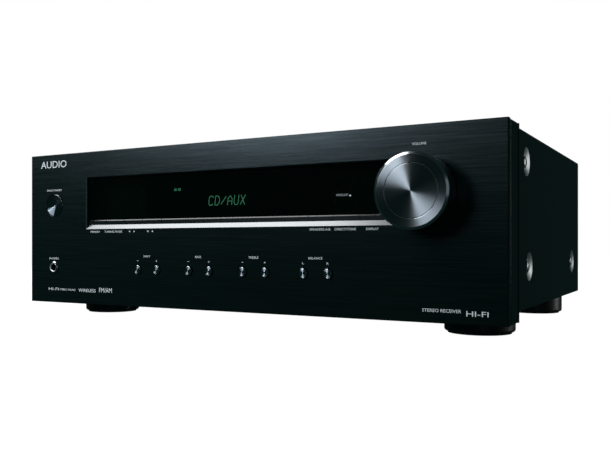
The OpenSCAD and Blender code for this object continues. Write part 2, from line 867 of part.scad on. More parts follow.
module radio_module() {
    socket_r = 4.75;
    can_x = [181, 207];
    can_z = [84, 134];
    can_d = 46;
    can_t = 1;
    can_front = rear_y - sheet_t - can_d;
    end = rear_y + 10;
    color([0.72, 0.73, 0.75]) {
        difference() {
            block(can_x, [can_front, rear_y - sheet_t], can_z);
            block([can_x[0] + can_t, can_x[1] - can_t], [can_front - 1, rear_y - sheet_t - can_t],
                [can_z[0] + can_t, can_z[1] - can_t]);
        }
        difference() {
            rod(antenna_at, [rear_y - sheet_t - 1, end], socket_r);
            rod(antenna_at, [end - 8, end + 1], 3.6);
        }
        turned(antenna_at, rear_y, [[socket_r - 0.5, 0], [6.3, 0], [6.3, 1], [socket_r - 0.5, 1]]);
    }
}

module ribbon_cable() {
    t = 0.8;
    front = board_y + board_t;
    back = input_board_y - board_t;
    slot_z = 102;
    high = 126;
    end_z = 110;
    color([0.75, 0.75, 0.72])
        along_x([100, 124]) polygon([[front, slot_z], [chassis_y + 12, slot_z], [-60, high], [60, high],
            [back - 5, end_z], [back, end_z], [back, end_z + t], [back - 5 + t, end_z + t],
            [60 + t, high + t], [-60 - t, high + t], [chassis_y + 12 - t, slot_z + t], [front, slot_z + t]]);
}

module mains_inlet() {
    flange = [25, 11.2];
    housing = [13.4, 9.8];
    cavity = [12.1, 8.2];
    depth = 17;
    blade = [1, 2];
    blade_places = [[-7, -2], [0, 2], [7, -2]];
    face = inlet_face;
    color([0.05, 0.05, 0.055])
        translate([inlet_at[0], 0, inlet_at[1]]) {
            difference() {
                union() {
                    block([-flange[0], flange[0]], [rear_y, face], [-flange[1], flange[1]]);
                    block([-housing[0], housing[0]], [face - depth - 4, face - 1], [-housing[1], housing[1]]);
                }
                block([-cavity[0], cavity[0]], [face - depth, face + 1], [-cavity[1], cavity[1]]);
                for (at = inlet_screws)
                    rod(at - inlet_at, [rear_y - 1, face + 1], screw_hole_r);
            }
            for (at = blade_places)
                block([at[0] - blade[0], at[0] + blade[0]], [face - depth - 1, face - 3],
                    [at[1] - blade[1], at[1] + blade[1]]);
        }
}

module speaker_base() {
    x = [post_x[0] - 12, post_x[3] + 12];
    z = [post_rows[1] - 13, post_rows[0] + 13];
    color([0.04, 0.04, 0.045])
        difference() {
            union() {
                block(x, [rear_y, base_face], z);
                for (at = post_places)
                    rod(at, [rear_y - 6, rear_y + 1], 5);
                block([x[0] + 4, x[1] - 4], [rear_y - 10, rear_y - 5.5], [z[0] + 4, z[1] - 4]);
            }
            for (at = post_places)
                rod(at, [rear_y - 11, base_face + 1], 3.05);
            for (at = base_screws)
                rod(at, [rear_y - 11, base_face + 1], screw_hole_r);
        }
}

module speaker_studs() {
    collar = 3.5;
    shank = 3;
    base = base_face;
    bore_l = 15;
    grip_l = 10;
    color([0.8, 0.68, 0.35])
        for (at = post_places)
            difference() {
                union() {
                    rod(at, [base, terminal_y], collar);
                    rod(at, [rear_y - 14, base + 1], shank);
                }
                rod(at, [terminal_y - grip_l - 0.5, terminal_y + 1], banana_r);
                rod(at, [terminal_y - bore_l, terminal_y - grip_l], banana_r + 0.25);
            }
}

// One cap of a speaker post, which turns on its stud to clamp the wire
module post_cap(i, shade) {
    base = base_face + push_gap;
    end = terminal_y - 0.4;
    at = post_places[i];
    color(shade)
        difference() {
            union() {
                rod(at, [base, base + 1.6], 6.6);
                translate([at[0], base + 1.5, at[1]]) rotate([-90, 0, 0])
                    cylinder(h = end - base - 1.5, r = 7.6, $fn = 12);
            }
            rod(at, [base - 1, end + 1], 3.56);
        }
}

plus_shade = [0.55, 0.04, 0.04];
minus_shade = [0.05, 0.05, 0.05];

module post_a_left_minus() {
    post_cap(3, minus_shade);
}

module post_a_left_plus() {
    post_cap(2, plus_shade);
}

module post_a_right_minus() {
    post_cap(1, minus_shade);
}

module post_a_right_plus() {
    post_cap(0, plus_shade);
}

module post_b_left_minus() {
    post_cap(7, minus_shade);
}

module post_b_left_plus() {
    post_cap(6, plus_shade);
}

module post_b_right_minus() {
    post_cap(5, minus_shade);
}

module post_b_right_plus() {
    post_cap(4, plus_shade);
}

front_plate();
front_frame();
display_lens();
display_tube();
front_board();
strip_blank();
key_memory();
key_tuning_mode();
key_step();
key_preset();
key_speakers();
key_tone();
key_display();
power_button();
input_down_button();
input_up_button();
bass_down_button();
bass_up_button();
treble_down_button();
treble_up_button();
balance_left_button();
balance_right_button();
tact_switches();
volume_knob();
volume_shaft();
volume_encoder();
panel_nuts();
phones_jack();
status_led();
front_chassis();
chassis_tray();
rear_panel();
top_cover();
case_screws();
feet();
foot_pads();
foot_screws();
transformer_core();
transformer_coil();
heatsink();
power_transistors();
main_board();
filter_capacitors();
board_parts();
input_board();
input_jacks();
optical_sockets();
radio_module();
ribbon_cable();
mains_inlet();
speaker_base();
speaker_studs();
post_a_left_minus();
post_a_left_plus();
post_a_right_minus();
post_a_right_plus();
post_b_left_minus();
post_b_left_plus();
post_b_right_minus();
post_b_right_plus();
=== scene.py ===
import json
import math

import bmesh
import bpy
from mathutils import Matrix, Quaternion, Vector


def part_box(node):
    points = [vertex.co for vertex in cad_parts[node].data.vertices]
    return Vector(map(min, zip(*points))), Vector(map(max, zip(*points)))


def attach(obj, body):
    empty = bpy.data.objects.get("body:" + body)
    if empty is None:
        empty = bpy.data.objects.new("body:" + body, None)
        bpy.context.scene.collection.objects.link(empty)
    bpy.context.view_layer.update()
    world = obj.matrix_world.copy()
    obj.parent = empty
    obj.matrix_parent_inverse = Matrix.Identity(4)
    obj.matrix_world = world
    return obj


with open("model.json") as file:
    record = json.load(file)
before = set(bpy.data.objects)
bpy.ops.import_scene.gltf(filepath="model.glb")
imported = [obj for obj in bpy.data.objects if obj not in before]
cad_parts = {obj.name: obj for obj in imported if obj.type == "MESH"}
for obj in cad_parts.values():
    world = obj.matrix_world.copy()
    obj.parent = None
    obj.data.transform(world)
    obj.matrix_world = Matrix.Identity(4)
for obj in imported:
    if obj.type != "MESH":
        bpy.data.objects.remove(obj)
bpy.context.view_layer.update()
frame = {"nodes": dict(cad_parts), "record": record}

MM = 0.001


# ---------------------------------------------------------------- places, from the frame

def centre(node):
    low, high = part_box(node)
    return (low + high) / 2


plate_low, plate_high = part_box("front_plate")
lens_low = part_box("display_lens")[0]

FACE = plate_low.y
PANEL_LOW = plate_low.z
LENS_FACE = lens_low.y
TUBE_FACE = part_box("display_tube")[0].y
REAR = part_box("rear_panel")[1].y
SPEAKER_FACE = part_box("speaker_base")[1].y
BEVEL_LOW = PANEL_LOW + 66.4 * MM
BEVEL_TOP = BEVEL_LOW + 3.6 * MM

# The cover's dimples: their radius, and the y and z of each one's middle in millimetres
DIMPLE_R = 10.35 * MM
SIDE_SCREWS = [(-86.2, 123.9), (-77.0, 49.5), (114.5, 49.5)]

# The rear's round sockets: x and z in millimetres, with the phono columns from number 6 to number 1
PHONO_COLUMNS = [38, 56, 74, 92, 110, 128]
LEFT_ROW = 82
RIGHT_ROW = 62
COAXIAL_SOCKETS = [(160, 62), (160, 82)]
SUBWOOFER_SOCKET = (38, 112)

ROUND_BUTTONS = ["input_down_button", "input_up_button", "bass_down_button", "bass_up_button",
                 "treble_down_button", "treble_up_button", "balance_left_button", "balance_right_button"]
POSTS = ["post_%s_%s_%s" % (pair, side, pole) for pair in "ab" for side in ("left", "right")
         for pole in ("minus", "plus")]

INK = 0.03 * MM
PLASTIC_BLACK = (0.0035, 0.0085, 0.0080)

# Which parts of a vector count, for a distance from a line along Y or along X
ACROSS_Y = (1, 0, 1)
ACROSS_X = (0, 1, 1)


# ---------------------------------------------------------------- camera, floor and light

def make_camera():
    """A low camera in front of the right-hand corner, level and shifted, so that uprights stay upright."""
    data = bpy.data.cameras.new("camera")
    data.sensor_width = 36
    data.lens = 44.23
    data.shift_x = 0.0607
    data.shift_y = 0.0306
    data.clip_start = 0.01
    camera = bpy.data.objects.new("camera", data)
    camera.location = (0.32864, -0.63709, 0.06589)
    camera.rotation_euler = (math.radians(90), 0, math.radians(30.535))
    bpy.context.scene.collection.objects.link(camera)
    bpy.context.scene.camera = camera


def softbox(name, at, aim, size, radiance, tint=(1, 1, 1), lean=0.0):
    """A rectangular studio light of size (width, height), centred at a place and turned to a point.

    It leans to its own left by so many degrees.
    """
    width, height = size
    data = bpy.data.lights.new(name, "AREA")
    data.shape = "RECTANGLE"
    data.size = width
    data.size_y = height
    data.energy = radiance * math.pi * width * height
    data.color = tint
    light = bpy.data.objects.new(name, data)
    light.location = at
    facing = (Vector(aim) - Vector(at)).to_track_quat("-Z", "Y")
    light.rotation_euler = (facing @ Quaternion((0, 0, 1), math.radians(lean))).to_euler()
    light.visible_camera = False
    bpy.context.scene.collection.objects.link(light)


def make_lights():
    """A long softbox in front on the left, brightest at its right end, and others above and around."""
    cool = (0.82, 0.94, 1.02)
    in_front = -0.93
    # Name, x, z, width, height, radiance, lean
    front_row = [
        ("key_light", -0.393, 0.499, 0.24, 0.44, 10.0, 25),
        ("key_light_middle", -0.58, 0.49, 0.27, 0.42, 4.2, 14),
        ("key_light_end", -0.86, 0.48, 0.28, 0.36, 1.0, 0),
        ("front_fill", 0.63, 0.22, 0.34, 0.40, 0.2, 0),
    ]
    for name, x, z, width, height, radiance, lean in front_row:
        softbox(name, (x, in_front, z), (x, 0, z), (width, height), radiance, cool, lean)
    softbox("top_light", (-0.92, -0.50, 1.25), (-0.92, -0.50, 0), (1.0, 0.9), 5.5)
    softbox("right_light", (1.05, 0.60, 0.21), (0, 0.60, 0.21), (0.28, 0.42), 6.0)
    softbox("left_light", (-1.3, 0.4, 0.55), (-0.2, 0.1, 0.1), (0.9, 0.7), 2.0)
    softbox("back_light", (-0.65, 1.35, 0.60), (-0.05, 0.15, 0.1), (0.9, 0.9), 9.0)


def make_world():
    """White behind the object, and a dim room for all that it mirrors."""
    world = bpy.data.worlds.new("studio")
    world.use_nodes = True
    tree = world.node_tree
    tree.nodes.clear()
    backdrop = tree.nodes.new("ShaderNodeBackground")
    backdrop.inputs["Color"].default_value = (1, 1, 1, 1)
    room = tree.nodes.new("ShaderNodeBackground")
    room.inputs["Color"].default_value = (0.006, 0.017, 0.016, 1)
    path = tree.nodes.new("ShaderNodeLightPath")
    mix = tree.nodes.new("ShaderNodeMixShader")
    out = tree.nodes.new("ShaderNodeOutputWorld")
    tree.links.new(path.outputs["Is Camera Ray"], mix.inputs[0])
    tree.links.new(room.outputs[0], mix.inputs[1])
    tree.links.new(backdrop.outputs[0], mix.inputs[2])
    tree.links.new(mix.outputs[0], out.inputs["Surface"])
    bpy.context.scene.world = world
    bpy.context.scene.view_settings.view_transform = "Standard"


def make_floor():
    """A plain pale floor, which glows a little so that it stays as white as the backdrop."""
    half = 6.0
    mesh = bpy.data.meshes.new("floor")
    mesh.from_pydata([(-half, -half, 0), (half, -half, 0), (half, half, 0), (-half, half, 0)], [],
                     [(0, 1, 2, 3)])
    floor = bpy.data.objects.new("floor", mesh)
    bpy.context.scene.collection.objects.link(floor)
    g = Graph("floor")
    glow = g.add("Emission", {"Color": (1, 1, 1, 1), "Strength": 1.0})
    matt = g.add("BsdfDiffuse", {"Color": (0.10, 0.10, 0.10, 1)})
    both = g.add("AddShader", {0: glow.outputs[0], 1: matt.outputs[0]})
    mesh.materials.append(g.finish(both.outputs[0]))
    floor.visible_glossy = False
    floor.visible_diffuse = False


# ---------------------------------------------------------------- material graphs

class Graph:
    """A material's node tree, with short calls to fill it."""

    def __init__(self, name):
        self.material = bpy.data.materials.new(name)
        self.material.use_nodes = True
        self.tree = self.material.node_tree
        self.tree.nodes.clear()

    def add(self, kind, inputs=None, **settings):
        """A new node, each of whose inputs is a fixed value or another node's output."""
        node = self.tree.nodes.new("ShaderNode" + kind)
        for key, value in settings.items():
            setattr(node, key, value)
        for key, value in (inputs or {}).items():
            if isinstance(value, bpy.types.NodeSocket):
                self.tree.links.new(value, node.inputs[key])
            else:
                node.inputs[key].default_value = value
        return node

    def finish(self, shader):
        self.add("OutputMaterial", {"Surface": shader})
        return self.material

    def math(self, operation, a, b=0.0):
        return self.add("Math", {0: a, 1: b}, operation=operation).outputs[0]

    def between(self, value, low, high):
        """1 where a value lies between two limits, and 0 elsewhere."""
        above = self.math("GREATER_THAN", value, low)
        below = self.math("LESS_THAN", value, high)
        return self.math("MULTIPLY", above, below)

    def vector(self, operation, a, b=(0, 0, 0)):
        return self.add("VectorMath", {0: a, 1: b}, operation=operation).outputs[0]

    def split(self, vector):
        """A vector's parts, named X, Y and Z."""
        return self.add("SeparateXYZ", {0: vector}).outputs

    def geometry(self, output):
        return self.add("NewGeometry").outputs[output]

    def reach(self, at, axes):
        """From a point to the surface, across a line: the step as a vector, and its length."""
        arm = self.vector("MULTIPLY", self.vector("SUBTRACT", self.geometry("Position"), tuple(at)), axes)
        return arm, self.add("VectorMath", {0: arm}, operation="LENGTH").outputs["Value"]

    def place(self, scale=(1, 1, 1)):
        """The piece's own coordinates, stretched by a scale along each axis."""
        coords = self.add("TexCoord").outputs["Object"]
        return self.vector("MULTIPLY", coords, scale)

    def noise(self, scale, stretch=(1, 1, 1), detail=3.0):
        return self.add("TexNoise", {"Vector": self.place(stretch), "Scale": scale, "Detail": detail,
                                     "Roughness": 0.5}).outputs["Fac"]

    def spread(self, value, low, high, from_low=0.3, from_high=0.7):
        """A noise value, moved to the range low to high."""
        return self.add("MapRange", {"Value": value, "From Min": from_low, "From Max": from_high,
                                     "To Min": low, "To Max": high}).outputs["Result"]

    def blend(self, factor, a, b):
        """A colour between a and b."""
        return self.add("Mix", {0: factor, 6: a, 7: b}, data_type="RGBA").outputs[2]

    def choose(self, factor, shader, other):
        """One shader where the factor is 0, and the other where it is 1."""
        return self.add("MixShader", {0: factor, 1: shader, 2: other}).outputs[0]

    def eased(self, size):
        """The surface's normal, with its sharp edges rounded to a radius."""
        return self.add("Bevel", {"Radius": size}, samples=6).outputs[0]

    def bump(self, height, strength, distance):
        return self.add("Bump", {"Height": height, "Strength": strength, "Distance": distance}).outputs[0]

    def surface(self, color, rough, metal=0.0, normal=None, level=0.5, **more):
        """A Principled surface, where level is the strength of a non-metal's gloss."""
        inputs = {"Base Color": color, "Roughness": rough, "Metallic": metal, "Specular IOR Level": level}
        if normal is not None:
            inputs["Normal"] = normal
        inputs.update(more)
        return self.add("BsdfPrincipled", inputs).outputs[0]


def shade(color, factor):
    return tuple(c * factor for c in color) + (1,)


def emission(color, strength):
    """A Principled surface's inputs for its own light."""
    return {"Emission Color": shade(color, 1), "Emission Strength": strength}


def moulded(name, color, rough, grain=0.5 * MM, depth=0.02 * MM, metal=0.0, level=0.5):
    """A moulded, cast or painted surface: fine grain in its bump and gloss, with slow changes of tone."""
    g = Graph(name)
    fine = g.noise(1 / grain)
    slow = g.noise(25.0, detail=2.0)
    tone = g.blend(g.spread(slow, 0, 1), shade(color, 0.85), shade(color, 1.15))
    gloss = g.math("ADD", g.spread(fine, -0.05, 0.05), rough)
    return g.finish(g.surface(tone, gloss, metal, g.bump(fine, 0.5, depth), level))


def turned(name, at, color, rough, ease, edge_tone):
    """Metal turned on a lathe about an axis along Y: concentric lines that stretch the highlights.

    Its sharp edges are eased to a radius, and its sides and chamfers are polished.
    """
    line_pitch = 0.35 * MM
    g = Graph(name)
    arm, length = g.reach(at, ACROSS_Y)
    round_it = g.vector("CROSS_PRODUCT", g.vector("NORMALIZE", arm), (0, 1, 0))
    outward = g.vector("NORMALIZE", g.vector("CROSS_PRODUCT", g.geometry("Normal"), round_it))
    rings = g.add("TexNoise", {"W": length, "Scale": 1 / line_pitch, "Detail": 4.0},
                  noise_dimensions="1D").outputs["Fac"]
    tone = g.blend(g.spread(rings, 0, 1), shade(color, 0.98), shade(color, 1.02))
    gloss = g.math("ADD", g.spread(rings, -0.004, 0.004), rough)
    normal = g.eased(ease)
    face = g.surface(tone, gloss, 1.0, normal, Anisotropic=1.0, Tangent=outward)
    polished = g.surface(shade(color, edge_tone), 0.16, 1.0, normal)
    off_face = g.math("GREATER_THAN", g.split(g.geometry("True Normal"))["Y"], -0.95)
    return g.finish(g.choose(off_face, face, polished))


def bright_cuts(g, facing):
    """Where the window's edge is cut bright: its lower bevel, and the chamfer at its left end."""
    slack = 0.2 * MM
    place = g.split(g.geometry("Position"))
    faces_up = g.math("GREATER_THAN", facing["Z"], 0.3)
    on_bevel = g.math("MULTIPLY", faces_up, g.between(place["Z"], BEVEL_LOW - slack, BEVEL_TOP + slack))
    slants = g.between(facing["X"], 0.3, 0.9)
    on_side = g.math("MULTIPLY", slants, g.between(place["X"], lens_low.x - 3 * MM, lens_low.x + 2 * MM))
    return on_bevel, on_side


def brushed_front(name):
    """Black anodised aluminium, brushed from side to side, with the window's edge cut bright."""
    g = Graph(name)
    fine = g.noise(1.0, (30, 400, 2200))
    streaks = g.noise(1.0, (18, 200, 700), detail=2.0)
    lines = g.math("ADD", g.math("MULTIPLY", fine, 0.5), g.math("MULTIPLY", streaks, 0.5))
    tone = g.blend(g.spread(lines, 0, 1), (0.0021, 0.0068, 0.0062, 1), (0.0033, 0.0095, 0.0088, 1))
    facing = g.split(g.geometry("True Normal"))
    on_end = g.math("GREATER_THAN", g.math("ABSOLUTE", facing["X"]), 0.5)
    gloss = g.math("SUBTRACT", g.spread(lines, 0.25, 0.29), g.math("MULTIPLY", on_end, 0.15))
    level = g.math("MULTIPLY", g.spread(lines, 0.25, 0.55), g.spread(on_end, 1.0, 0.5, 0, 1))
    sideways = g.add("CombineXYZ", {"X": 1.0}).outputs[0]
    stretch = g.math("MULTIPLY", g.math("SUBTRACT", 1.0, on_end), 0.65)
    black = g.surface(tone, gloss, level=level, Anisotropic=stretch, Tangent=sideways, IOR=1.6,
                      **{"Specular Tint": (0.8, 0.93, 1.0, 1)})
    on_bevel, on_side = bright_cuts(g, facing)
    # The lower bevel and the left chamfer are the same cut metal in two tones, the bevel painted darker and
    # the chamfer lighter: painted shade and painted light
    cut_tone_painted_light_and_shade = g.blend(on_side, (0.165, 0.172, 0.176, 1), (0.88, 0.90, 0.92, 1))
    bright = g.surface(cut_tone_painted_light_and_shade, g.spread(fine, 0.22, 0.27), 1.0)
    return g.finish(g.choose(g.math("MAXIMUM", on_bevel, on_side), black, bright))


def smoked_lens(name):
    """Acrylic, smoked almost black: what is lit behind it still shows. Its cut ends have no gloss."""
    g = Graph(name)
    through = g.add("BsdfTransparent", {"Color": (0.40, 0.52, 0.45, 1)}).outputs[0]
    tint = g.add("BsdfDiffuse", {"Color": (0.0008, 0.0045, 0.0035, 1)}).outputs[0]
    waves = g.bump(g.noise(60.0, detail=1.0), 0.05, 0.02 * MM)
    gloss = g.add("BsdfGlossy", {"Color": (0.9, 1.0, 0.98, 1), "Roughness": 0.04, "Normal": waves})
    fresnel = g.add("Fresnel", {"IOR": 1.45}).outputs[0]
    facing = g.math("ABSOLUTE", g.split(g.geometry("True Normal"))["Y"])
    polished = g.math("MULTIPLY", fresnel, g.math("GREATER_THAN", facing, 0.5))
    return g.finish(g.choose(polished, g.choose(0.35, through, tint), gloss.outputs[0]))


def glowing(name, color, strength):
    g = Graph(name)
    flicker = g.spread(g.noise(900.0, detail=1.0), 0.9, 1.1)
    glow = g.add("Emission", {"Color": shade(color, 1), "Strength": g.math("MULTIPLY", flicker, strength)})
    return g.finish(glow.outputs[0])


def lit_resin(name, at, color, strength, core):
    """Clear resin about an axis along Y, lit only in its middle."""
    g = Graph(name)
    in_core = g.math("LESS_THAN", g.reach(at, ACROSS_Y)[1], core)
    cloud = g.spread(g.noise(900.0), 0.9, 1.1)
    glow = g.math("MULTIPLY", g.math("MULTIPLY", in_core, cloud), strength)
    return g.finish(g.surface((0.02, 0.03, 0.03, 1), 0.2, **emission(color, glow)))


def printed(name, color, strength):
    """Screen-printed ink, slightly uneven, which also glows by a given strength: painted light."""
    g = Graph(name)
    tone = g.blend(g.spread(g.noise(2500.0, detail=2.0), 0, 1), shade(color, 0.88), shade(color, 1))
    return g.finish(g.surface(tone, 0.55, **emission(color, strength)))


def board(name, color, track):
    """A circuit board: tracks under the mask, and tinned dots."""
    g = Graph(name)
    tracks = g.add("TexBrick", {"Vector": g.place(), "Scale": 90.0, "Mortar Size": 0.03,
                                "Color1": shade(color, 0.9), "Color2": shade(color, 1.1),
                                "Mortar": shade(track, 1)}).outputs["Color"]
    dots = g.add("TexVoronoi", {"Vector": g.place(), "Scale": 260.0}).outputs["Distance"]
    tin = g.math("LESS_THAN", dots, 0.16)
    tone = g.blend(tin, tracks, (0.6, 0.6, 0.62, 1))
    return g.finish(g.surface(tone, g.spread(g.noise(400.0), 0.35, 0.5), g.math("MULTIPLY", tin, 0.9)))


def striped(name, color, pitch, axis, rough, metal=0.0):
    """Thin layers or wires side by side along one axis: laminations, windings, ribbon cable."""
    g = Graph(name)
    wave = g.add("TexWave", {"Vector": g.place(), "Scale": math.pi / pitch / 10, "Distortion": 0.3,
                             "Detail": 1.0}, bands_direction=axis).outputs["Fac"]
    crest = g.blend(g.spread(g.noise(40.0), 0, 1), shade(color, 0.85), shade(color, 1.1))
    tone = g.blend(wave, g.blend(0.5, crest, shade(color, 0.6)), crest)
    return g.finish(g.surface(tone, rough, metal, g.bump(wave, 0.6, 0.1 * MM)))


def galvanised(name, color):
    """Zinc-coated sheet, with its spangle."""
    g = Graph(name)
    flakes = g.add("TexVoronoi", {"Vector": g.place(), "Scale": 140.0}).outputs["Color"]
    flake = g.add("SeparateColor", {0: flakes}).outputs[0]
    tone = g.blend(flake, shade(color, 0.8), shade(color, 1.1))
    return g.finish(g.surface(tone, g.spread(flake, 0.3, 0.5, 0, 1), 1.0))


def painted_steel(name):
    """Black satin powder paint on sheet steel, with a fine orange-peel texture, and bare metal dimples."""
    g = Graph(name)
    peel = g.noise(900.0, detail=2.0)
    slow = g.noise(12.0, detail=2.0)
    tone = g.blend(g.spread(slow, 0, 1), (0.0008, 0.0028, 0.0025, 1), (0.0012, 0.0036, 0.0032, 1))
    paint = g.surface(tone, g.spread(peel, 0.15, 0.19), normal=g.bump(peel, 0.06, 0.01 * MM), level=0.35)
    bare = g.surface((0.34, 0.37, 0.37, 1), g.spread(peel, 0.38, 0.44), 1.0)
    in_dimple = 0.0
    for y, z in SIDE_SCREWS:
        distance = g.reach((0, y * MM, z * MM), ACROSS_X)[1]
        in_dimple = g.math("ADD", in_dimple, g.math("LESS_THAN", distance, DIMPLE_R))
    return g.finish(g.choose(in_dimple, paint, bare))


def frame_plastic(name):
    """The front frame: satin round its rim, matt black behind the front panel."""
    g = Graph(name)
    fine = g.noise(2500.0)
    outward = g.math("ABSOLUTE", g.split(g.geometry("Position"))["X"])
    on_rim = g.math("GREATER_THAN", outward, plate_high.x - 4 * MM)
    gloss = g.math("SUBTRACT", g.spread(fine, 0.60, 0.64), g.math("MULTIPLY", on_rim, 0.48))
    tone = g.blend(on_rim, (0.0008, 0.0016, 0.0015, 1), (0.0015, 0.0040, 0.0036, 1))
    return g.finish(g.surface(tone, gloss, level=g.spread(on_rim, 0.1, 0.3, 0, 1)))


def bushing(name):
    """The headphone socket: black plastic behind the front, a nickelled bushing in it."""
    g = Graph(name)
    depth = g.split(g.geometry("Position"))["Y"]
    in_front = g.math("LESS_THAN", depth, FACE + 0.5 * MM)
    fine = g.noise(900.0)
    plastic = g.surface(shade(PLASTIC_BLACK, 1), g.spread(fine, 0.4, 0.5))
    plated = g.surface((0.86, 0.88, 0.90, 1), g.spread(fine, 0.40, 0.46), 1.0, g.eased(0.9 * MM))
    return g.finish(g.choose(in_front, plastic, plated))


def make_materials():
    """One material for each of the record's material slots."""
    return {
        "front_aluminium": brushed_front("front_aluminium"),
        "frame_plastic": frame_plastic("frame_plastic"),
        "lens_acrylic": smoked_lens("lens_acrylic"),
        "display_glass": moulded("display_glass", (0.0010, 0.0060, 0.0040), 0.12, grain=3 * MM, level=0.4),
        "board_green": board("board_green", (0.02, 0.11, 0.05), (0.05, 0.20, 0.10)),
        "board_brown": board("board_brown", (0.36, 0.24, 0.11), (0.45, 0.33, 0.18)),
        "key_plastic": moulded("key_plastic", (0.0040, 0.0080, 0.0085), 0.22, grain=0.3 * MM,
                               depth=0.005 * MM, level=0.6),
        "spun_aluminium": moulded("spun_aluminium", (0.42, 0.45, 0.48), 0.3, metal=1.0),
        "button_metal": moulded("button_metal", (0.60, 0.63, 0.66), 0.25, metal=1.0),
        "switch_plastic": moulded("switch_plastic", (0.03, 0.03, 0.03), 0.5),
        "shaft_steel": moulded("shaft_steel", (0.60, 0.60, 0.62), 0.25, metal=1.0, grain=0.2 * MM),
        "nickel": moulded("nickel", (0.66, 0.68, 0.70), 0.16, metal=1.0, grain=0.4 * MM, depth=0.004 * MM),
        "led_resin": lit_resin("led_resin", centre("status_led"), (1.0, 0.64, 0.82), 9.0, 0.6 * MM),
        "galvanised_steel": galvanised("galvanised_steel", (0.55, 0.57, 0.60)),
        "painted_steel": painted_steel("painted_steel"),
        "black_screw": moulded("black_screw", (0.34, 0.36, 0.36), 0.34, metal=1.0, grain=0.3 * MM,
                               depth=0.004 * MM),
        "foot_plastic": moulded("foot_plastic", (0.0030, 0.0075, 0.0065), 0.32, grain=0.35 * MM, level=0.9),
        "pad_rubber": moulded("pad_rubber", (0.006, 0.008, 0.008), 0.8, grain=0.3 * MM, level=0.2),
        "lamination_steel": striped("lamination_steel", (0.16, 0.17, 0.18), 0.7 * MM, "Y", 0.45, 0.8),
        "winding": striped("winding", (0.45, 0.20, 0.05), 1.0 * MM, "Y", 0.35, 0.6),
        "heatsink_aluminium": moulded("heatsink_aluminium", (0.62, 0.63, 0.65), 0.42, metal=1.0),
        "component_black": moulded("component_black", (0.012, 0.012, 0.013), 0.45),
        "capacitor_sleeve": moulded("capacitor_sleeve", (0.010, 0.016, 0.060), 0.25, grain=2 * MM),
        "ribbon_plastic": striped("ribbon_plastic", (0.60, 0.60, 0.56), 1.27 * MM, "X", 0.5),
        "socket_plastic": moulded("socket_plastic", PLASTIC_BLACK, 0.4),
        "post_red": moulded("post_red", (0.30, 0.010, 0.008), 0.25),
        "post_black": moulded("post_black", (0.006, 0.007, 0.007), 0.25),
        "gold_plate": moulded("gold_plate", (0.83, 0.60, 0.24), 0.18, metal=1.0, depth=0.004 * MM),
    }


def dress(node, material):
    """Give all of a CAD node one material."""
    shape = frame["nodes"][node]
    if not shape.material_slots:
        shape.data.materials.append(material)
    for slot in shape.material_slots:
        slot.material = material


def dress_turned(node, color, rough, ease, edge_tone):
    dress(node, turned(node + "_face", centre(node), color, rough, ease, edge_tone))


def dress_nodes(materials):
    """Each node's slot material first, then the nodes that have a material of their own."""
    for part in frame["record"]["subparts"]:
        dress(part["node"], materials[part["material_slot"]])
    # The rear panel's black paint is lighter than the cover's: painted light, so that it shows where little
    # light falls behind
    dress("rear_panel", moulded("rear_paint_painted_lighter", (0.016, 0.018, 0.018), 0.36, grain=1.1 * MM, depth=0.01 * MM))
    dress("phones_jack", bushing("phones_bushing"))
    dress_turned("volume_knob", (0.28, 0.29, 0.31), 0.28, 0.5 * MM, 2.0)
    dress_turned("power_button", (0.33, 0.36, 0.39), 0.12, 0.15 * MM, 0.4)
    for name in ROUND_BUTTONS:
        dress_turned(name, (0.42, 0.47, 0.50), 0.24, 0.15 * MM, 0.8)


# ---------------------------------------------------------------- thin shapes on a face

def text_mesh(text):
    """A word as a flat mesh in X and Y, as thick as ink along Z."""
    data = bpy.data.curves.new("word", "FONT")
    data.body = text
    data.extrude = INK / 2
    data.resolution_u = 3
    word = bpy.data.objects.new("word", data)
    bpy.context.scene.collection.objects.link(word)
    bpy.context.view_layer.update()
    made = bpy.data.meshes.new_from_object(word.evaluated_get(bpy.context.evaluated_depsgraph_get()))
    bpy.data.objects.remove(word)
    return made


def add_word(target, text, x0, x1, z0, z1, y, outward):
    """A printed word that fills a rectangle of a face at depth y. From the rear, X runs to the left."""
    made = text_mesh(text)
    low = [min(v.co[i] for v in made.vertices) for i in range(2)]
    high = [max(v.co[i] for v in made.vertices) for i in range(2)]
    scale_x = (x1 - x0) / (high[0] - low[0])
    scale_z = (z1 - z0) / (high[1] - low[1])
    for v in made.vertices:
        across = (v.co.x - low[0]) * scale_x
        x = x0 + across if outward < 0 else x1 - across
        z = z0 + (v.co.y - low[1]) * scale_z
        v.co = Vector((x, y + outward * (INK / 2 + v.co.z), z))
    target.from_mesh(made)
    bpy.data.meshes.remove(made)


def add_flat(target, corners, y, outward):
    """A thin flat shape with these corners, standing on a face at depth y."""
    ring = []
    for depth in (y, y + outward * INK):
        ring.append([target.verts.new((c.x, depth, c.z)) for c in corners])
    target.faces.new(ring[0])
    target.faces.new(ring[1])
    for i in range(len(corners)):
        j = (i + 1) % len(corners)
        target.faces.new((ring[0][i], ring[0][j], ring[1][j], ring[1][i]))


def add_bar(target, start, end, width, y, outward):
    """A flat bar between two points of a face, longer than their distance by its width."""
    along = (end - start).normalized() * width / 2
    side = Vector((-along.z, 0, along.x))
    corners = [start - along - side, end + along - side, end + along + side, start - along + side]
    add_flat(target, corners, y, outward)


def add_ring(target, at, inner, outer, y, outward):
    """A thin flat ring about a point, standing on a face at depth y."""
    steps = 40
    turns = [2 * math.pi * i / steps for i in range(steps)]
    rows = []
    for r, depth in [(inner, y), (inner, y + outward * INK), (outer, y + outward * INK), (outer, y)]:
        circle = [(at.x + r * math.cos(a), depth, at.z + r * math.sin(a)) for a in turns]
        rows.append([target.verts.new(point) for point in circle])
    for row, following in zip(rows, rows[1:] + rows[:1]):
        for i in range(steps):
            j = (i + 1) % steps
            target.faces.new((row[i], row[j], following[j], following[i]))


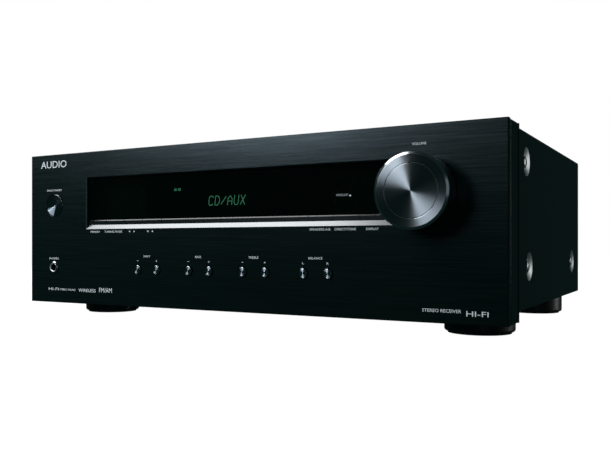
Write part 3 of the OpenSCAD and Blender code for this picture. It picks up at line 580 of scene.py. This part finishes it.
def add_piece(name, target, material, body):
    """A visible piece from the shapes gathered so far, riding on a body."""
    bmesh.ops.recalc_face_normals(target, faces=target.faces)
    mesh = bpy.data.meshes.new(name)
    target.to_mesh(mesh)
    target.free()
    mesh.materials.append(material)
    piece = bpy.data.objects.new(name, mesh)
    bpy.context.scene.collection.objects.link(piece)
    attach(piece, body)


def printing(name, words, y, outward, material, shapes=()):
    """Printed words and shapes on a face of the case at depth y.

    Each word is (text, x from, x to, z from, z to), and each shape is a list of its corners.
    """
    target = bmesh.new()
    for corners in shapes:
        add_flat(target, corners, y, outward)
    for text, x0, x1, z0, z1 in words:
        add_word(target, text, x0, x1, z0, z1, y, outward)
    add_piece(name, target, material, "case")


# ---------------------------------------------------------------- the front's printing

# Height of the words under the keys, in millimetres above the underside of the front panel
UNDER_KEYS = 63.9


def front_word(text, x0, x1, z, height):
    """A word given in millimetres, with its middle height above the underside of the front panel."""
    middle = PANEL_LOW + z * MM
    return (text, x0 * MM, x1 * MM, middle - height * MM / 2, middle + height * MM / 2)


def front_words():
    small = 1.7
    over_buttons = 42.8
    beside_buttons = 39.0
    words = [
        front_word("AUDIO", -204.9, -172.6, 125.9, 6.4),
        front_word("ON/STANDBY", -197.2, -178.3, 102.2, small),
        front_word("PHONES", -193.9, -182.4, 40.0, small),
        front_word("VOLUME", 153.2, 163.4, 121.6, small),
        front_word("STEREO RECEIVER", 160.4, 187.1, 8.6, 2.2),
        front_word("HI-FI", 190.5, 205.0, 7.4, 3.4),
        front_word("INPUT", -82.7, -75.7, over_buttons, small),
        front_word("BASS", -29.2, -23.4, over_buttons, small),
        front_word("TREBLE", 21.4, 30.4, over_buttons, small),
        front_word("BALANCE", 73.5, 85.1, over_buttons, small),
        front_word("HI-FI", -194.9, -182.5, 12.2, 2.4),
        front_word("STEREO SOUND", -181.0, -161.5, 12.0, 1.6),
        front_word("WIRELESS", -157.8, -137.1, 12.0, 2.8),
        front_word("FM/AM", -133.0, -118.3, 12.8, 4.0),
        front_word("MEMORY", -143.0, -132.2, UNDER_KEYS, small),
        front_word("TUNING MODE", -126.8, -106.6, UNDER_KEYS, small),
        front_word("SPEAKERS A/B", 74.5, 91.5, UNDER_KEYS, small),
        front_word("DIRECT/TONE", 95.0, 111.6, UNDER_KEYS, small),
        front_word("DISPLAY", 119.5, 128.9, UNDER_KEYS, small),
    ]
    half = 0.8
    for sign, node in zip("-+-+-+LR", ROUND_BUTTONS):
        x = centre(node).x / MM
        height = 0.35 if sign == "-" else 1.5
        words.append(front_word(sign, x - half, x + half, beside_buttons, height))
    return words


def arrow(x, z, toward):
    """A small printed triangle about a point of the front, pointing along toward."""
    middle = Vector((x * MM, 0, PANEL_LOW + z * MM))
    ahead = Vector((toward[0], 0, toward[1])) * 0.9 * MM
    aside = Vector((-ahead.z, 0, ahead.x))
    return [middle + ahead, middle - ahead * 0.6 + aside, middle - ahead * 0.6 - aside]


def make_front_printing():
    # The front's ink glows a little: painted light
    ink = printed("front_ink_painted_glow", (0.80, 0.84, 0.86), 0.25)
    arrows = [
        arrow(-98.2, UNDER_KEYS, (-1, 0)),
        arrow(-93.2, UNDER_KEYS, (1, 0)),
        arrow(-78.1, UNDER_KEYS, (0, -1)),
        arrow(-73.3, UNDER_KEYS, (0, 1)),
    ]
    printing("front_printing", front_words(), FACE, -1, ink, arrows)


# ---------------------------------------------------------------- the back

def rear_word(text, x, z, height, width):
    """A word on the rear panel about a point, in millimetres above the floor."""
    return (text, (x - width / 2) * MM, (x + width / 2) * MM, (z - height / 2) * MM, (z + height / 2) * MM)


def make_rear_printing():
    small = 2.4
    large = 3.0
    # The rear's ink glows a little: painted light
    ink = printed("rear_ink_painted_glow", (0.62, 0.64, 0.65), 0.02)
    words = [
        rear_word("AC IN", -172, 84, small, 12),
        rear_word("SPEAKERS", -68.5, 122, large, 26),
        rear_word("AUDIO IN", 83, 95.5, large, 24),
        rear_word("SUBWOOFER OUT", 42, 122, small, 28),
        rear_word("DIGITAL IN", 149, 122, large, 24),
        rear_word("OPTICAL", 149, 98.5, small, 15),
        rear_word("COAXIAL", 160, 52, small, 15),
        rear_word("ANTENNA", 190, 126, small, 16),
    ]
    for number, x in zip("654321", PHONO_COLUMNS):
        words.append(rear_word(number, x, 52, small, 1.6))
    for sign, z in [("L", LEFT_ROW), ("R", RIGHT_ROW)]:
        words.append(rear_word(sign, 29, z, small, 1.8))
    printing("rear_printing", words, REAR, 1, ink)
    words = [
        rear_word("A", -68.5, 104, 4.2, 3.6),
        rear_word("B", -68.5, 74, 4.2, 3.6),
        rear_word("RIGHT", -92.5, 89, small, 10),
        rear_word("LEFT", -44.5, 89, small, 8.5),
    ]
    above_cap = 2.2
    for name in POSTS:
        x = centre(name).x / MM
        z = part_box(name)[1].z / MM + above_cap
        sign, height = ("-", 0.5) if name.endswith("minus") else ("+", 2.2)
        words.append(rear_word(sign, x, z, height, 2.2))
    printing("speaker_printing", words, SPEAKER_FACE, 1, ink)


def make_socket_rings():
    """The coloured faces of the round sockets: white for left, red for right, orange and black beside."""
    inner = 4.3 * MM
    outer = 5.3 * MM
    groups = [
        ("rings_white", [(x, LEFT_ROW) for x in PHONO_COLUMNS], (0.55, 0.56, 0.55)),
        ("rings_red", [(x, RIGHT_ROW) for x in PHONO_COLUMNS], (0.36, 0.012, 0.010)),
        ("rings_orange", COAXIAL_SOCKETS, (0.50, 0.13, 0.01)),
        ("ring_black", [SUBWOOFER_SOCKET], (0.010, 0.011, 0.011)),
    ]
    for name, places, color in groups:
        target = bmesh.new()
        for x, z in places:
            add_ring(target, Vector((x * MM, 0, z * MM)), inner, outer, REAR + 1.0 * MM, 1)
        add_piece(name, target, moulded(name, color, 0.35, grain=0.3 * MM), "case")


# ---------------------------------------------------------------- the lit display

# Each character is one stroke through points of a box that is 1 wide and 1 high
LETTERS = {
    "C": [(1, 0.85), (0.75, 1), (0.25, 1), (0, 0.8), (0, 0.2), (0.25, 0), (0.75, 0), (1, 0.15)],
    "D": [(0, 0), (0, 1), (0.6, 1), (1, 0.75), (1, 0.25), (0.6, 0), (0, 0)],
    "/": [(0, 0.1), (1, 0.9)],
    "A": [(0, 0), (0, 0.65), (0.5, 1), (1, 0.65), (1, 0.4), (0, 0.4), (1, 0.4), (1, 0)],
    "U": [(0, 1), (0, 0.2), (0.25, 0), (0.75, 0), (1, 0.2), (1, 1)],
    "X": [(0, 0), (0.5, 0.5), (0, 1), (1, 0), (0.5, 0.5), (1, 1)],
    "o": [(0.1, 0.2), (0.1, 0.8), (0.8, 0.8), (0.8, 0.2), (0.1, 0.2)],
}


def add_stroke_text(target, text, x, z, width, height, pitch, stroke):
    """Characters of thin strokes that lean a little, on the front of the display tube."""
    lean = 0.12 * height
    for i, letter in enumerate(text):
        left = x + i * pitch
        points = [Vector((left + a * width + b * lean, 0, z + b * height)) for a, b in LETTERS[letter]]
        for start, end in zip(points, points[1:]):
            add_bar(target, start, end, stroke, TUBE_FACE, -1)


def make_display():
    green = glowing("display_green", (0.36, 1.0, 0.72), 1.5)
    target = bmesh.new()
    add_stroke_text(target, "CD/AUX", -22.0 * MM, 97.0 * MM, 4.0 * MM, 7.3 * MM, 6.1 * MM, 0.55 * MM)
    add_stroke_text(target, "oo", -57.2 * MM, 109.8 * MM, 2.8 * MM, 2.2 * MM, 4.2 * MM, 0.6 * MM)
    add_piece("display_text", target, green, "case")
    # The lens's ink glows a little: painted light
    ink = printed("lens_ink_painted_glow", (0.50, 0.54, 0.56), 0.12)
    words = [front_word("WIRELESS", 94.3, 104.0, 88.8, 1.6)]
    printing("lens_printing", words, LENS_FACE, -1, ink)


# ---------------------------------------------------------------- all together

make_camera()
make_world()
make_floor()
make_lights()
dress_nodes(make_materials())
make_front_printing()
make_rear_printing()
make_socket_rings()
make_display()
